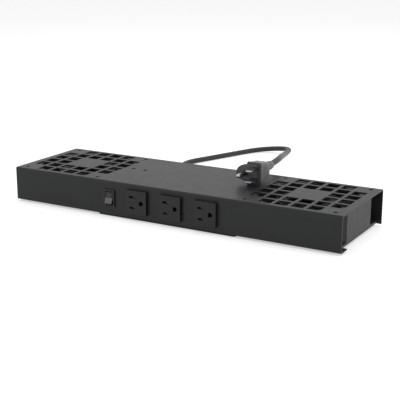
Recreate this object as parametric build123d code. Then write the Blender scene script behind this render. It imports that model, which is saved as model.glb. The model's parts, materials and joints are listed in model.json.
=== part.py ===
"""Rack fan unit: a folded steel channel with two axial fans, three power outlets and a rocker switch.

X runs along the unit, Y from the front panel to the rear, Z up from the table. Millimetres.
"""
from build123d import *
import math
import os

# Housing
end_margin = 4.5
side_clearance = 1.0
sheet = 1.5
bend = 2.0
lip_width = 16.5
rear_lip_width = 12.0
rear_lip_half = 84.0
relief_width = 1.5
relief_height = 4.0

# Fans
fan_side = 119.0
fan_height = 38.0
fan_pitch = 301.0
hole_pitch = 105.0
fan_corner = 6.0
fan_flat_half = 36.0
fan_flange = 3.0
fan_hole = 2.15
bore_radius = 56.5
bore_chamfer = 1.2
base_radius = 33.0
base_thickness = 2.5
base_rim = 2.0
base_rim_height = 7.0
spoke_width = 5.0
spoke_height = 5.0
spoke_count = 4
spoke_angle = 45.0
spoke_root = 0.6
base_edge = 1.0

# Motor
shaft_radius = 3.0
shaft_low = 3.2
shaft_end = 1.0
shaft_chamfer = 0.4
running_fit = 0.04
seat_fit = 0.02
bearing_radius = 6.5
bearing_width = 5.0
bearing_low = 4.0
bearing_recess = 1.0
tube_radius = 8.5
tube_gap = 2.4
tube_shoulder = 5.4
core_rise = 2.0
core_height = 12.0
pole_radius = 24.0
pole_thickness = 4.5
pole_count = 4
pole_arc = 74.0
stem_width = 10.0
coil_wall = 4.0
coil_fit = 0.2
coil_start = 12.2
air_gap = 0.5
cup_radius = 34.0
cup_wall = 1.6
cup_gap = 2.5
cup_recess = 3.0
cup_corner = 3.0
cup_boss_radius = 6.0
cup_boss_depth = 4.0

# Impeller
ring_wall = 2.0
ring_start = 1.0
ring_recess = 2.0
blade_count = 7
blade_tip = 55.0
blade_rise = 1.5
blade_edge = 0.9
blade_thickness = 1.9
blade_stations = ((27.0, 31.0, 43.0, 3.0), (42.0, 38.0, 35.0, 4.0), (58.0, 46.0, 28.0, 4.5))

# Grille
cell_pitch = 19.0
cell_size = 15.0
cells_across = 6

# Flush screws
screw_radius = 1.5
screw_head = 2.6
screw_head_depth = 1.3
screw_fit = 0.1
screw_sink = 0.4
nut_flats = 5.5
nut_height = 2.4
screw_spare = 0.8

# Wires and where a fan's wires leave its frame
wire_radius = 0.9
wire_fit = 0.05
wire_bend = 2.5
wire_grip = 4.0
wire_rise = 7.0
wire_bundle = 1.9
core_run = 8.0
core_cross = 26.0
neutral_run = 9.0
feed_drop = 12.0
tab_run = 4.0
switched_run = 6.0
switched_cross = 17.0
block_run = 11.0
link_run = 5.0
link_under_roof = 3.2
bar_approach = 8.0
live_bar_run = 14.0
neutral_bar_run = 18.0
earth_bar_run = 20.0
earth_link_run = 13.0
earth_back = 2.0
earth_floor = 0.6
stud_cross = 15.0
lead_floor = 3.4
lead_groove = 4.0
lead_slot_height = 2.4
lead_strut_width = 7.0
lead_strut_height = 5.6
lead_start_radius = 15.0
lead_cross = 4.0
lead_ramp = 6.0
grommet_hole = 2.9
grommet_bore = 1.95
grommet_flange = 3.9
grommet_flange_width = 0.9

# Wiring compartment
divider_thickness = 1.2
divider_gap = 1.5
divider_flange = 9.0
divider_fit = 0.3
cover_half = 91.0
cover_thickness = 1.2
cover_setback = 0.8
cover_screw_x = (-70.5, 82.0)
cover_screw_inset = 7.5
cover_screw_head = 3.2
cover_screw_rise = 1.0
cover_screw_length = 6.0
cover_screw_round = 0.6

# Outlets
outlet_first = -35.2
outlet_pitch = 45.3
outlet_width = 28.0
outlet_tall = 28.2
outlet_proud = 4.0
outlet_round = 0.8
outlet_body = 26.0
outlet_depth = 22.0
outlet_fit = 0.3
prong_pitch = 12.7
prong_offset = 11.9
slot_group = -4.7
slot_long = 8.6
slot_short = 7.0
slot_high = 2.3
ground_hole = 2.6
pocket_wide = 9.4
pocket_high = 6.0
contact_setback = 4.5
contact_sheet = 0.6
contact_gap = 1.5
contact_wide = 6.4
contact_length = 12.0
contact_fit = 0.3
tab_wide = 4.8
tab_reach = 7.0
tab_sheet = 0.8
bar_thickness = 1.0
bar_half = 2.0

# Switch
switch_x = -74.0
bezel_wide = 15.0
bezel_tall = 21.0
bezel_proud = 1.8
bezel_round = 0.7
switch_body_wide = 12.9
switch_body_tall = 18.9
switch_depth = 16.0
switch_fit = 0.3
rocker_wide = 9.4
rocker_gap = 0.3
rocker_half = 7.0
rocker_tilt = 20.0
pivot_depth = 3.0
rocker_back = 2.0
nub_reach = 4.5
nub_half = 1.2
pivot_radius = 1.2
pivot_length = 1.0
pivot_fit = 0.05
terminal_pitch = 7.0
terminal_root = 3.0

# Terminal block and earth stud
block_x = -75.1
block_y = 5.0
block_screw_pitch = 17.0
block_wide = 25.6
block_deep = 20.0
block_tall = 15.0
block_ways = 3
block_screw_length = 8.0
wire_mouth = 4.0
wire_floor = 4.0
well_radius = 1.8
stud_x = -30.0
stud_radius = 2.0
stud_length = 11.0
stud_nut = 7.0
stud_nut_height = 3.2
ring_thickness = 0.8
ring_radius = 4.2
neck_wide = 4.0
barrel_deep = 3.2
barrel_start = 5.0
barrel_end = 13.0

# Mains cord
cord_radius = 3.7
cord_fit = 0.1
bend_share = 0.45
grip_x = -68.0
grip_z = 17.0
grip_hole = 7.5
grip_flange = 9.5
grip_flange_width = 2.0
grip_inside = 9.0
grip_barb = 8.3
grip_sleeve = 24.0
grip_root = 6.6
grip_tip = 4.9
grip_step = 1.0
grip_lead_in = 1.5
rib_count = 4
rib_pitch = 4.5
rib_gap = 1.2
rib_floor = 0.3
lead_start = 8.0
lead_reach = 11.0
lead_end = 29.0
lead_shift = 1.2
lead_drop = 5.0
coil_x = -114.7
coil_y = 115.4
coil_outer = 48.4
coil_inner = 26.0
coil_tall = 14.8
coil_round = 3.5

# Plug, lying on the top plate with its blades to the front
plug_x = 81.2
plug_face = 6.0
plug_tall = 26.4
plug_right = 88.4
plug_left = 71.0
plug_nose = 13.5
plug_nose_half = 9.8
plug_round = 2.5
plug_taper = 28.0
plug_shoulder_wide = 20.0
plug_shoulder_tall = 16.0
plug_face_length = 4.0
plug_tail_x = 77.0
plug_tail_root = 6.2
plug_tail_tip = 5.0
plug_draft = 1.5
plug_grip_round = 8.0
plug_shoulder_round = 5.0
plug_rib_start = 3.0
plug_end = 57.0
blade_length = 16.0
prong_wide = 6.35
prong_sheet = 1.5
pin_radius = 2.4
pin_length = 19.0
prong_root = 6.0
prong_chamfer = 0.45
pin_dome = 1.9

# What follows from the sizes above
body_length = fan_pitch + fan_side + 2 * end_margin
body_depth = fan_side + 2 * (sheet + side_clearance)
body_height = fan_height + 2 * sheet
cover_bottom = cover_screw_rise
body_bottom = cover_bottom + cover_thickness
body_top = body_bottom + body_height
roof = body_top - sheet
lip_top = body_bottom + sheet
panel_middle = body_bottom + body_height / 2
rocker_reach = bezel_proud + rocker_half * math.sin(math.radians(rocker_tilt))
front_reach = max(outlet_proud, rocker_reach)
front = -(body_depth + front_reach) / 2 + front_reach
rear = front + body_depth
middle_y = (front + rear) / 2
fan_x = fan_pitch / 2
fan_inner_side = fan_x - fan_side / 2
divider_x = fan_inner_side - divider_gap
plug_z = body_top + plug_tall / 2
cup_low = base_rim_height + cup_gap
cup_top = fan_height - cup_recess
core_low = cup_low + core_rise
shaft_high = cup_top - shaft_end
tube_height = cup_top - cup_wall - cup_boss_depth - tube_gap
bearing_high = tube_height - bearing_recess - bearing_width
ring_low = cup_low + ring_start
ring_high = cup_top - ring_recess
blade_middle = fan_height / 2 + blade_rise
block_front = block_y - block_deep / 2
block_rear = block_y + block_deep / 2
mouth_z = roof - block_tall + wire_floor + wire_mouth / 2
wire_row = wire_mouth / 4
switch_tab_end = front + switch_depth + tab_reach
bar_y = front + outlet_depth + tab_reach
lead_inner = rear - sheet - grip_inside - lead_start
lead_z = lip_top + lead_floor + wire_radius + wire_fit

# Points of the free cord, from the coil to the plug
cord_points = [
    (-92.2, 156.4, 3.7),
    (-113.4, 169.7, 3.7),
    (-126.3, 191.0, 3.7),
    (-128.0, 216.0, 3.7),
    (-115.0, 247.0, 3.7),
    (-101.0, 283.0, 3.7),
    (-89.0, 315.0, 3.7),
    (-80.0, 335.0, 4.2),
    (-65.5, 348.0, 5.5),
    (-46.0, 352.0, 7.5),
    (-27.0, 346.0, 9.8),
    (-13.5, 331.0, 12.5),
    (-6.0, 290.0, 17.5),
    (9.0, 243.0, 26.5),
    (31.0, 197.0, 37.0),
    (50.0, 152.0, 47.0),
    (67.0, 112.0, 53.5),
    (plug_tail_x, 84.0, plug_z),
    (plug_tail_x, plug_end, plug_z),
]
# Points of the cord from inside the housing to the coil
lead_points = [
    (grip_x, lead_inner, grip_z),
    (grip_x, rear + grip_sleeve + lead_reach, grip_z),
    (grip_x - lead_shift, rear + grip_sleeve + lead_end, grip_z - lead_drop),
]


def block(x0, x1, y0, y1, z0, z1):
    """Box between two corners."""
    return Pos((x0 + x1) / 2, (y0 + y1) / 2, (z0 + z1) / 2) * Box(x1 - x0, y1 - y0, z1 - z0)


def rod(x, y, z0, z1, radius):
    """Upright cylinder."""
    return Pos(x, y, (z0 + z1) / 2) * Cylinder(radius, z1 - z0)


def rod_y(x, z, y0, y1, radius):
    """Cylinder along Y."""
    return Pos(x, (y0 + y1) / 2, z) * Rot(90, 0, 0) * Cylinder(radius, y1 - y0)


def turned(points):
    """Solid of revolution about Z from points (radius, height)."""
    return revolve(Plane.XZ * make_face(Polyline(*points, close=True)), Axis.Z)


def turned_y(points):
    """Solid of revolution about Y from points (radius, depth)."""
    return revolve(make_face(Polyline(*points, close=True)), Axis.Y)


def fan_places():
    """Centres of the two fans."""
    return ((-fan_x, middle_y), (fan_x, middle_y))


def corner_places(half):
    """Four corners of a square."""
    return [(sx * half, sy * half) for sx in (-1, 1) for sy in (-1, 1)]


# Housing

def channel_section():
    """Top, front with its lip, and rear, as one folded strip seen from the end."""
    outer = Rectangle(body_depth, body_height)
    outer = fillet([v for v in outer.vertices() if v.X < 0 or v.Y > 0], bend)
    inner = Rectangle(body_depth - 2 * sheet, body_height - 2 * sheet)
    inner = fillet([v for v in inner.vertices() if v.X < 0 or v.Y > 0], bend - sheet)
    gap_width = body_depth - lip_width - sheet
    gap = Pos(lip_width / 2 - sheet / 2, -body_height / 2 + sheet) * Rectangle(gap_width, 2 * sheet)
    return outer - inner - gap


def rear_lip():
    """Lip folded inwards from the rear panel, between two relief notches."""
    section = Rectangle(body_depth, body_height)
    section = fillet(section.vertices(), bend)
    inner = Rectangle(body_depth - 2 * sheet, body_height - 2 * sheet)
    section = section - fillet(inner.vertices(), bend - sheet)
    keep = Pos(body_depth / 2 - rear_lip_width / 2, -body_height / 2 + relief_height / 2)
    section = section & (keep * Rectangle(rear_lip_width, relief_height))
    place = Plane(origin=(0, middle_y, panel_middle), x_dir=(0, 1, 0), z_dir=(1, 0, 0))
    return extrude(place * section, rear_lip_half, both=True)


def grille_cells():
    """Square holes over one fan: a six by six grid without its corners and its middle four."""
    cells = []
    last = cells_across - 1
    for i in range(cells_across):
        for j in range(cells_across):
            corner = i in (0, last) and j in (0, last)
            centre = abs(2 * i - last) == 1 and abs(2 * j - last) == 1
            if not corner and not centre:
                cells.append(((i - last / 2) * cell_pitch, (j - last / 2) * cell_pitch))
    return cells


def flush_seat(x, y):
    """Countersunk hole in the top plate."""
    cone_bottom = body_top - screw_head_depth
    cone = Cone(screw_radius + screw_fit, screw_head + screw_fit, screw_head_depth)
    cone = Pos(x, y, (cone_bottom + body_top) / 2) * cone
    return cone + rod(x, y, roof - sheet, body_top, screw_radius + screw_fit)


def chassis():
    place = Plane(origin=(0, middle_y, panel_middle), x_dir=(0, 1, 0), z_dir=(1, 0, 0))
    shell = extrude(place * channel_section(), body_length / 2, both=True)
    notch_half = rear_lip_half + relief_width
    low = body_bottom - sheet
    shell -= block(-notch_half, notch_half, rear - 2 * sheet, rear + sheet, low, body_bottom + relief_height)
    shell += rear_lip()
    cuts = []
    for x, y in fan_places():
        for dx, dy in grille_cells():
            cell = Pos(x + dx, y + dy, roof + sheet / 2) * Box(cell_size, cell_size, 2 * sheet)
            cuts.append(cell)
        for dx, dy in corner_places(hole_pitch / 2):
            cuts.append(flush_seat(x + dx, y + dy))
    for dx in (-block_screw_pitch / 2, block_screw_pitch / 2):
        cuts.append(flush_seat(block_x + dx, block_y))
    half = outlet_body / 2 + outlet_fit
    for x in outlet_places():
        cuts.append(block(x - half, x + half, front - sheet, front + 2 * sheet,
                          panel_middle - half, panel_middle + half))
    wide = switch_body_wide / 2 + switch_fit
    tall = switch_body_tall / 2 + switch_fit
    cuts.append(block(switch_x - wide, switch_x + wide, front - sheet, front + 2 * sheet,
                      panel_middle - tall, panel_middle + tall))
    cuts.append(rod_y(grip_x, grip_z, rear - 2 * sheet, rear + sheet, grip_hole + cord_fit))
    for x, y in cover_screw_places():
        cuts.append(rod(x, y, body_bottom - sheet, lip_top + sheet, screw_radius + screw_fit))
    for cut in cuts:
        shell -= cut
    return shell


def cover_screw_places():
    """Two screws into the front lip and two into the rear lip."""
    rows = (front + cover_screw_inset, rear - cover_screw_inset)
    return [(x, y) for x in cover_screw_x for y in rows]


def bottom_cover():
    plate = block(-cover_half, cover_half, front + cover_setback, rear - cover_setback,
                  cover_bottom, body_bottom)
    plate = fillet(plate.edges().filter_by(Axis.Z), bend)
    for x, y in cover_screw_places():
        plate -= rod(x, y, cover_bottom - sheet, body_bottom + sheet, screw_radius + screw_fit)
    return plate


def cover_screws():
    """Pan-head screws, heads down, that hold the cover to the two lips."""
    screws = []
    for x, y in cover_screw_places():
        profile = [(0, 0), (cover_screw_head - cover_screw_round, 0), (cover_screw_head, cover_screw_round),
                   (cover_screw_head, cover_screw_rise), (screw_radius, cover_screw_rise),
                   (screw_radius, cover_screw_length), (0, cover_screw_length)]
        screws.append(Pos(x, y, 0) * turned(profile))
    return screws


def divider(side):
    """Sheet wall between a fan and the wiring compartment, with a flange under the top plate."""
    x1 = side * divider_x
    x0 = side * (divider_x - divider_thickness)
    x2 = side * (divider_x - divider_flange)
    y0 = front + sheet + divider_fit
    y1 = rear - sheet - divider_fit
    low = lip_top + divider_fit
    wall = block(min(x0, x1), max(x0, x1), y0, y1, low, roof)
    flange = block(min(x1, x2), max(x1, x2), y0 + bend, y1 - bend, roof - divider_thickness, roof)
    side_fit = block_wide / 2 + divider_fit
    flange -= block(block_x - side_fit, block_x + side_fit, block_y - block_deep / 2 - divider_fit,
                    block_y + block_deep / 2 + divider_fit, lip_top, body_top)
    both = wall + flange
    return both - Pos(x0, middle_y, lead_z) * Rot(0, 90, 0) * Cylinder(grommet_hole, 4 * divider_thickness)


def grommet(side):
    """Rubber bush in a divider, for the two wires of a fan."""
    length = divider_thickness + 2 * grommet_flange_width
    bush = Cylinder(grommet_hole - wire_fit, length)
    for sign in (-1, 1):
        flange = Cylinder(grommet_flange, grommet_flange_width)
        bush += Pos(0, 0, sign * (divider_thickness + grommet_flange_width) / 2) * flange
    bush -= Cylinder(grommet_bore, 2 * length)
    middle = side * (divider_x - divider_thickness / 2)
    return Pos(middle, middle_y, lead_z) * Rot(0, 90, 0) * bush


# Fans, built standing on Z = 0 and then placed

def fan_place(x):
    """Places a fan's piece at its bay, with the wires' side turned inwards."""
    return Pos(x, middle_y, lip_top) * Rot(0, 0, 0 if x < 0 else 180)


def fan_frame():
    """Die-cast frame: eight-sided barrel, two square flanges, motor base, four spokes and a grooved strut."""
    barrel = Rectangle(fan_side, fan_side)
    barrel = chamfer(barrel.vertices(), fan_side / 2 - fan_flat_half)
    plate = RectangleRounded(fan_side, fan_side, fan_corner)
    body = extrude(barrel, fan_height)
    body += extrude(plate, fan_flange)
    body += Pos(0, 0, fan_height - fan_flange) * extrude(plate, fan_flange)
    body -= Pos(0, 0, fan_height / 2) * Cylinder(bore_radius, 2 * fan_height)
    for z, sign in ((0, 1), (fan_height, -1)):
        wide = Cone(bore_radius + bore_chamfer, bore_radius, bore_chamfer)
        if sign < 0:
            wide = Rot(180, 0, 0) * wide
        body -= Pos(0, 0, z + sign * bore_chamfer / 2) * wide
    for x, y in corner_places(hole_pitch / 2):
        body -= Pos(x, y, fan_height / 2) * Cylinder(fan_hole, 2 * fan_height)
    for number in range(spoke_count):
        spoke = block(base_radius - base_rim, bore_radius + spoke_root, spoke_width / 2, 3 * spoke_width / 2,
                      0, spoke_height)
        body += Rot(0, 0, spoke_angle + number * 360 / spoke_count) * spoke
    base = turned([
        (0, 0), (base_radius - base_edge, 0), (base_radius, base_edge), (base_radius, base_rim_height),
        (base_radius - base_rim, base_rim_height), (base_radius - base_rim, base_thickness),
        (tube_radius, base_thickness), (tube_radius, tube_height),
        (bearing_radius + seat_fit, tube_height), (bearing_radius + seat_fit, bearing_high),
        (tube_shoulder, bearing_high), (tube_shoulder, bearing_low + bearing_width),
        (bearing_radius + seat_fit, bearing_low + bearing_width),
        (bearing_radius + seat_fit, base_thickness), (0, base_thickness)])
    strut = block(base_radius - base_rim, bore_radius + spoke_root,
                  -lead_strut_width / 2, lead_strut_width / 2, 0, lead_strut_height)
    groove = block(base_radius - 2 * base_rim, bore_radius, -lead_groove / 2, lead_groove / 2,
                   lead_floor, fan_height)
    slot = block(bore_radius - spoke_root, fan_side, -lead_groove / 2, lead_groove / 2,
                 lead_floor, lead_floor + lead_slot_height)
    return body + base + strut - groove - slot


def fan_stator():
    """Laminated core: a ring on the bearing tube, four stems and four pole shoes."""
    core = Cylinder(coil_start - coil_fit, core_height)
    shoe = Cylinder(pole_radius, core_height) - Cylinder(pole_radius - pole_thickness, core_height)
    gap = math.radians(360 / pole_count - pole_arc)
    slot = Box(2 * pole_radius, pole_radius * gap, 2 * core_height)
    for number in range(pole_count):
        turn = Rot(0, 0, number * 360 / pole_count)
        stem = Pos(pole_radius / 2, 0, 0) * Box(pole_radius - pole_thickness / 2, stem_width, core_height)
        core += turn * stem
    for number in range(pole_count):
        shoe -= Rot(0, 0, (number + 0.5) * 360 / pole_count) * Pos(pole_radius, 0, 0) * slot
    core = (core + shoe) & Cylinder(pole_radius, core_height)
    core -= Cylinder(tube_radius + seat_fit, 2 * core_height)
    return Pos(0, 0, core_low + core_height / 2) * core


def fan_windings():
    """Four coils, one round each stem."""
    coils = []
    wide = stem_width + 2 * coil_fit
    reach = math.sqrt((pole_radius - pole_thickness - coil_fit) ** 2 - (wide / 2 + coil_wall) ** 2)
    length = reach - coil_start
    tall = core_height + 2 * coil_fit
    ring = Box(length, wide + 2 * coil_wall, tall + 2 * coil_wall)
    ring = fillet(ring.edges().filter_by(Axis.X), coil_wall)
    ring -= Box(2 * length, wide, tall)
    for number in range(pole_count):
        turn = Rot(0, 0, number * 360 / pole_count)
        coils.append(turn * Pos(coil_start + length / 2, 0, core_low + core_height / 2) * ring)
    return coils


def fan_bearings():
    """Two ball bearings in the tube, as plain rings."""
    ring = Cylinder(bearing_radius, bearing_width) - Cylinder(shaft_radius + running_fit, 2 * bearing_width)
    return [Pos(0, 0, z + bearing_width / 2) * ring for z in (bearing_low, bearing_high)]


def fan_shaft():
    return chamfer(rod(0, 0, shaft_low, shaft_high, shaft_radius).edges(), shaft_chamfer)


def fan_rotor_cup():
    """Steel cup that turns round the stator, with a boss for the shaft."""
    inner = cup_radius - cup_wall
    under = cup_top - cup_wall
    cup = turned([
        (shaft_radius + seat_fit, under - cup_boss_depth), (cup_boss_radius, under - cup_boss_depth),
        (cup_boss_radius, under), (inner - cup_corner, under), (inner, under - cup_corner),
        (inner, cup_low), (cup_radius, cup_low), (cup_radius, cup_top - cup_corner),
        (cup_radius - cup_corner, cup_top), (shaft_radius + seat_fit, cup_top)])
    return cup


def fan_rotor_core():
    """Rotor laminations pressed into the cup."""
    outer = cup_radius - cup_wall - seat_fit
    ring = Cylinder(outer, core_height) - Cylinder(pole_radius + air_gap, 2 * core_height)
    return Pos(0, 0, core_low + core_height / 2) * ring


def blade_section(radius, chord, pitch, camber):
    """Cambered blade section across one radius."""
    half = chord / 2
    edges = [
        ThreePointArc((-half, 0), (0, camber), (half, 0)),
        Line((half, 0), (half, blade_edge)),
        ThreePointArc((half, blade_edge), (0, camber + blade_thickness), (-half, blade_edge)),
        Line((-half, blade_edge), (-half, 0)),
    ]
    place = Plane(origin=(0, -radius, blade_middle), x_dir=(1, 0, 0), z_dir=(0, -1, 0))
    return place * Rot(0, 0, pitch) * Pos(0, -camber / 2) * make_face(edges)


def fan_impeller():
    """Ring on the cup with seven twisted blades, trimmed to a round tip."""
    blade = loft([blade_section(*station) for station in blade_stations])
    ring_height = ring_high - ring_low
    root = Cylinder(cup_radius + ring_wall / 2, 2 * fan_height)
    zone = Pos(0, 0, fan_height / 2) * (Cylinder(blade_tip, fan_height) - root)
    blade = (blade & zone).solids().sort_by(SortBy.VOLUME)[-1]
    wheel = Cylinder(cup_radius + ring_wall, ring_height) - Cylinder(cup_radius + seat_fit, 2 * ring_height)
    wheel = Pos(0, 0, (ring_low + ring_high) / 2) * wheel
    return wheel + [Rot(0, 0, number * 360 / blade_count) * blade for number in range(blade_count)]


def flush_screw(x, y, length):
    """Countersunk screw, its head just below the top plate's face."""
    rim = screw_head - screw_sink * (screw_head - screw_radius) / screw_head_depth
    profile = [(0, -screw_sink), (rim, -screw_sink), (screw_radius, -screw_head_depth),
               (screw_radius, -length), (0, -length)]
    return Pos(x, y, body_top) * turned(profile)


def fan_screws(x):
    length = sheet + fan_flange + nut_height + screw_spare
    return [flush_screw(x + dx, middle_y + dy, length) for dx, dy in corner_places(hole_pitch / 2)]


def fan_nuts(x):
    """Hexagon nuts under the fan's upper flange."""
    nuts = []
    top = roof - fan_flange
    for dx, dy in corner_places(hole_pitch / 2):
        nut = extrude(RegularPolygon(nut_flats / 2, 6, major_radius=False), nut_height)
        nut -= Cylinder(screw_radius + seat_fit, 4 * nut_height)
        nuts.append(Pos(x + dx, middle_y + dy, top - nut_height) * nut)
    return nuts


# Outlets

def outlet_places():
    """Centres of the three outlets."""
    return [outlet_first + number * outlet_pitch for number in range(3)]


def prong_places():
    """Centre of the long slot, the short slot and the earth hole, from the outlet's own centre."""
    return (slot_group, prong_pitch / 2), (slot_group, -prong_pitch / 2), (slot_group + prong_offset, 0)


def outlet(x):
    """Moulded outlet: raised face, body through the panel, and three pockets."""
    face = block(x - outlet_width / 2, x + outlet_width / 2, front - outlet_proud, front,
                 panel_middle - outlet_tall / 2, panel_middle + outlet_tall / 2)
    face = fillet(face.edges().filter_by(Axis.Y), outlet_round)
    face = fillet(face.faces().sort_by(Axis.Y)[0].edges(), outlet_round / 2)
    back = front + outlet_depth
    half = outlet_body / 2
    body = block(x - half, x + half, front, back, panel_middle - half, panel_middle + half)
    body = face + body
    mouth = front - outlet_proud
    pocket_start = mouth + contact_setback
    (long_x, long_z), (short_x, short_z), (earth_x, earth_z) = prong_places()
    for dx, dz, wide in ((long_x, long_z, slot_long), (short_x, short_z, slot_short)):
        cx = x + dx
        cz = panel_middle + dz
        body -= block(cx - wide / 2, cx + wide / 2, mouth - sheet, pocket_start + sheet,
                      cz - slot_high / 2, cz + slot_high / 2)
        body -= pocket(cx, cz, pocket_start)
    cx = x + earth_x
    cz = panel_middle + earth_z
    body -= rod_y(cx, cz, mouth - sheet, pocket_start + sheet, ground_hole)
    body -= block(cx - ground_hole, cx, mouth - sheet, pocket_start + sheet,
                  cz - ground_hole, cz + ground_hole)
    body -= pocket(cx, cz, pocket_start)
    for dx, dz in prong_places():
        body -= tab(x + dx, panel_middle + dz)
    return body


def pocket(cx, cz, start):
    """Room behind a slot for its contact."""
    return block(cx - pocket_wide / 2, cx + pocket_wide / 2, start, pocket_back(start),
                 cz - pocket_high / 2, cz + pocket_high / 2)


def pocket_back(start):
    """Depth of a pocket's rear wall."""
    return start + contact_length


def tab(cx, cz):
    """Flat tab that leaves the outlet at the rear."""
    start = pocket_back(front - outlet_proud + contact_setback)
    end = front + outlet_depth + tab_reach
    return block(cx - tab_wide / 2, cx + tab_wide / 2, start, end, cz - tab_sheet / 2, cz + tab_sheet / 2)


def outlet_contacts(x):
    """Three spring contacts: two leaves that grip the blade, a bridge and a tab."""
    contacts = []
    start = front - outlet_proud + contact_setback
    back = pocket_back(start)
    for dx, dz in prong_places():
        cx = x + dx
        cz = panel_middle + dz
        outer = contact_gap / 2 + contact_sheet
        if dz == 0:
            outer = pin_radius + contact_sheet
        inner = outer - contact_sheet
        shape = block(cx - contact_wide / 2, cx + contact_wide / 2, start + contact_fit, back,
                      cz - outer, cz + outer)
        shape -= block(cx - contact_wide, cx + contact_wide, start, back - contact_sheet,
                       cz - inner, cz + inner)
        contacts.append(shape + tab(cx, cz))
    return contacts


def outlet_bars():
    """Three brass bars behind the outlets: each joins the same tab of all three."""
    bars = []
    for dx, dz in prong_places():
        x0, x1 = bar_ends(dx)
        z = panel_middle + dz
        bars.append(block(x0, x1, bar_y, bar_y + bar_thickness, z - bar_half, z + bar_half))
    return bars


def bar_ends(dx):
    """First and last X of the bar over the tabs at dx from each outlet's centre."""
    places = outlet_places()
    return places[0] + dx - tab_wide / 2, places[-1] + dx + tab_wide / 2


# Switch

def switch_pivot():
    """Pivot of the rocker: behind its face, at mid height."""
    return front - bezel_proud + pivot_depth * math.cos(math.radians(rocker_tilt / 2)), panel_middle


def switch_housing():
    """Frame of the switch: bezel, body and a hollow with two bearing holes."""
    half_w = bezel_wide / 2
    half_t = bezel_tall / 2
    bezel = block(switch_x - half_w, switch_x + half_w, front - bezel_proud, front,
                  panel_middle - half_t, panel_middle + half_t)
    bezel = fillet(bezel.edges().filter_by(Axis.Y), bezel_round)
    bezel = fillet(bezel.faces().sort_by(Axis.Y)[0].edges(), bezel_round / 2)
    half_w = switch_body_wide / 2
    half_t = switch_body_tall / 2
    body = block(switch_x - half_w, switch_x + half_w, front, front + switch_depth,
                 panel_middle - half_t, panel_middle + half_t)
    body = bezel + body
    pivot_y, pivot_z = switch_pivot()
    hollow_w = rocker_wide / 2 + rocker_gap
    hollow_t = rocker_sweep() + rocker_gap
    back = pivot_y + math.hypot(nub_reach, nub_half) + rocker_gap
    body -= block(switch_x - hollow_w, switch_x + hollow_w, front - 2 * bezel_proud, back,
                  pivot_z - hollow_t, pivot_z + hollow_t)
    bearing = Pos(switch_x, pivot_y, pivot_z) * Rot(0, 90, 0)
    length = rocker_wide + 2 * pivot_length + 2 * rocker_gap
    body -= bearing * Cylinder(pivot_radius + pivot_fit, length)
    for shape in switch_terminals():
        body -= shape
    return body


def rocker_sweep():
    """Radius of the rocker's ends about its pivot."""
    lean = math.radians(rocker_tilt / 2)
    end_y = pivot_depth + rocker_half * math.sin(lean)
    end_z = rocker_half * math.cos(lean)
    return math.hypot(end_y, end_z)


def switch_rocker():
    """Rocker with a hollowed face, round ends, a nub and two pivot pins, its upper half pressed in."""
    lean = math.radians(rocker_tilt / 2)
    end_y = -(pivot_depth + rocker_half * math.sin(lean))
    end_z = rocker_half * math.cos(lean)
    sweep = rocker_sweep()
    side_z = math.sqrt(sweep ** 2 - rocker_back ** 2)
    edges = [
        Line((-pivot_depth, 0), (end_y, end_z)),
        ThreePointArc((end_y, end_z), (0, sweep), (rocker_back, side_z)),
        Polyline((rocker_back, side_z), (rocker_back, 3 * nub_half), (nub_reach, nub_half),
                 (nub_reach, -nub_half), (rocker_back, -3 * nub_half), (rocker_back, -side_z)),
        ThreePointArc((rocker_back, -side_z), (0, -sweep), (end_y, -end_z)),
        Line((end_y, -end_z), (-pivot_depth, 0)),
    ]
    section = Rot(0, 0, -rocker_tilt / 2) * make_face(edges)
    pivot_y, pivot_z = switch_pivot()
    place = Plane(origin=(switch_x, pivot_y, pivot_z), x_dir=(0, 1, 0), z_dir=(1, 0, 0))
    body = extrude(place * section, rocker_wide / 2, both=True)
    pin = Cylinder(pivot_radius, rocker_wide + 2 * pivot_length)
    return body + Pos(switch_x, pivot_y, pivot_z) * Rot(0, 90, 0) * pin


def switch_terminals():
    """Two flat tabs at the rear of the switch."""
    tabs = []
    start = front + switch_depth - terminal_root
    end = front + switch_depth + tab_reach
    for z in switch_tab_heights():
        tabs.append(block(switch_x - tab_wide / 2, switch_x + tab_wide / 2, start, end,
                          z - tab_sheet / 2, z + tab_sheet / 2))
    return tabs


def switch_tab_heights():
    """Heights of the switch's lower and upper tab."""
    return panel_middle - terminal_pitch / 2, panel_middle + terminal_pitch / 2


# Wiring compartment

def terminal_block():
    """Three-way block under the top plate, with wire mouths and screw wells."""
    body = block(block_x - block_wide / 2, block_x + block_wide / 2, block_y - block_deep / 2,
                 block_y + block_deep / 2, roof - block_tall, roof)
    for number in range(block_ways):
        x = way_x(number)
        low = roof - block_tall
        body -= block(x - wire_mouth / 2, x + wire_mouth / 2, block_y - block_deep, block_y + block_deep,
                      low + wire_floor, low + wire_floor + wire_mouth)
        for dy in (-block_deep / 4, block_deep / 4):
            body -= rod(x, block_y + dy, low - sheet, low + wire_floor, well_radius)
    for dx in (-block_screw_pitch / 2, block_screw_pitch / 2):
        body -= rod(block_x + dx, block_y, roof - block_screw_length, body_top, screw_radius + seat_fit)
    return body


def way_x(number):
    """X of a way of the terminal block."""
    return block_x + (number - (block_ways - 1) / 2) * block_wide / (block_ways + 1)


def block_screws():
    places = [(block_x + dx, block_y) for dx in (-block_screw_pitch / 2, block_screw_pitch / 2)]
    return [flush_screw(x, y, block_screw_length) for x, y in places]


def earth_stud():
    """Stud welded inside the rear panel."""
    inside = rear - sheet
    return rod_y(stud_x, panel_middle, inside - stud_length, inside, stud_radius)


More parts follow.
